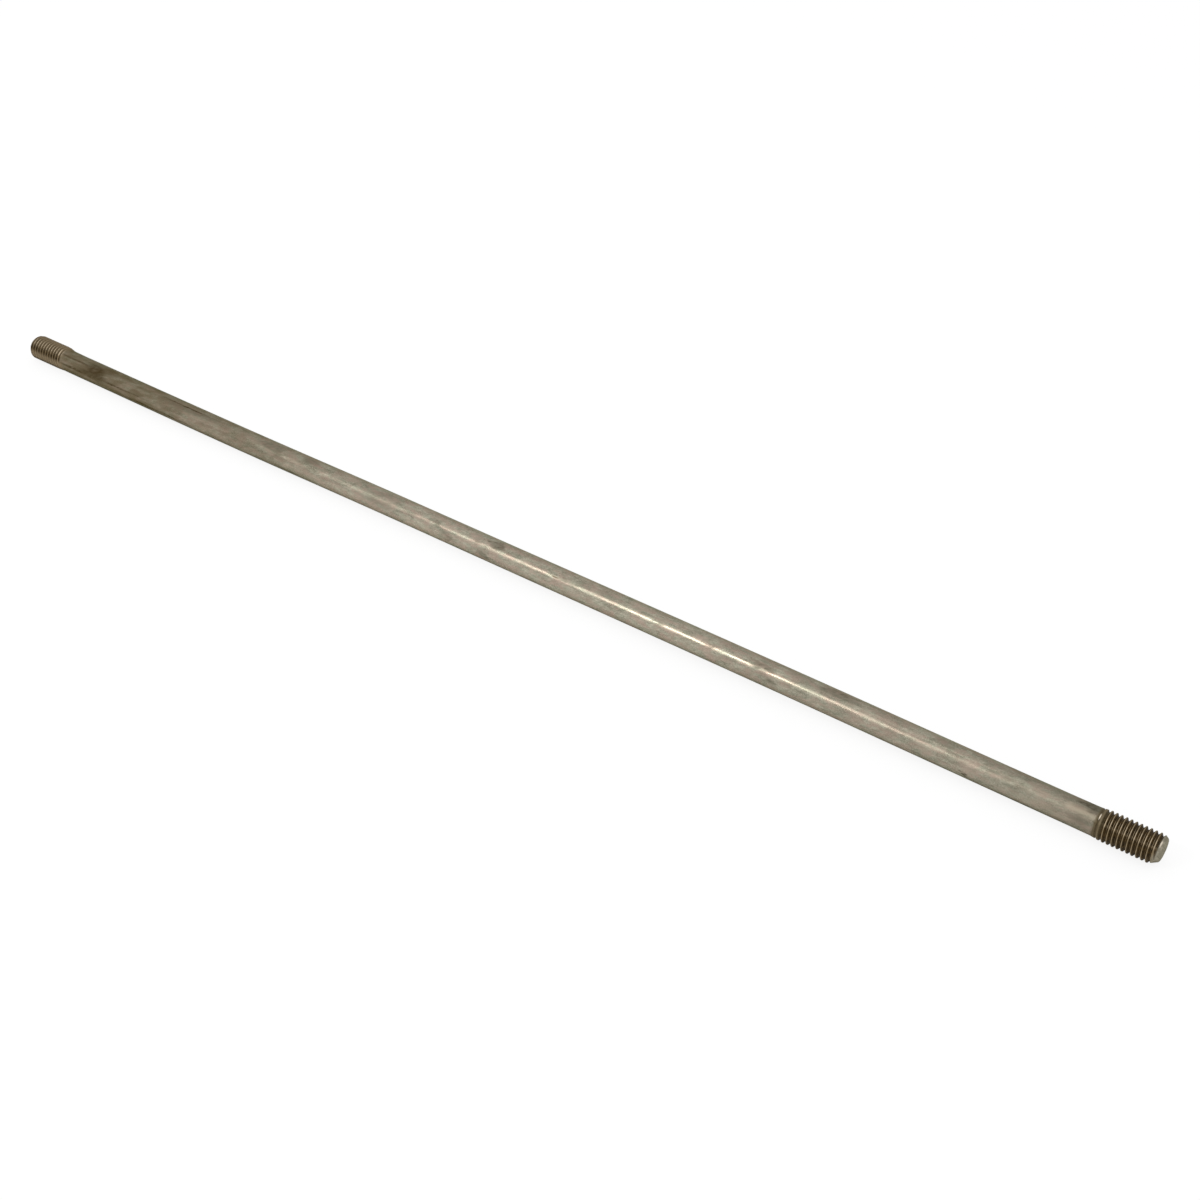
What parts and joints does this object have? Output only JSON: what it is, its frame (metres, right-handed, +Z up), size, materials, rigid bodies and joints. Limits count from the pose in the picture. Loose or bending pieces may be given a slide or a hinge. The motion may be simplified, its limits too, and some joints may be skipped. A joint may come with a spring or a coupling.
{
  "type": "tie rod",
  "caption": "Long plain round steel rod, reduced in the shank, with a right-hand rolled thread and coned point at each end.",
  "frame": {"origin": "on the rod's axis, midway between its end faces", "axes": "+X along the rod towards its right-hand end, +Z up as it lies, +Y to the back"},
  "size_m": [0.635, 0.0126, 0.0126],
  "materials": {
    "steel": "as-drawn mill steel, dull satin, lightly oiled and stained"
  },
  "bodies": {
    "root": {"tie_rod": "steel"}
  },
  "joints": []
}
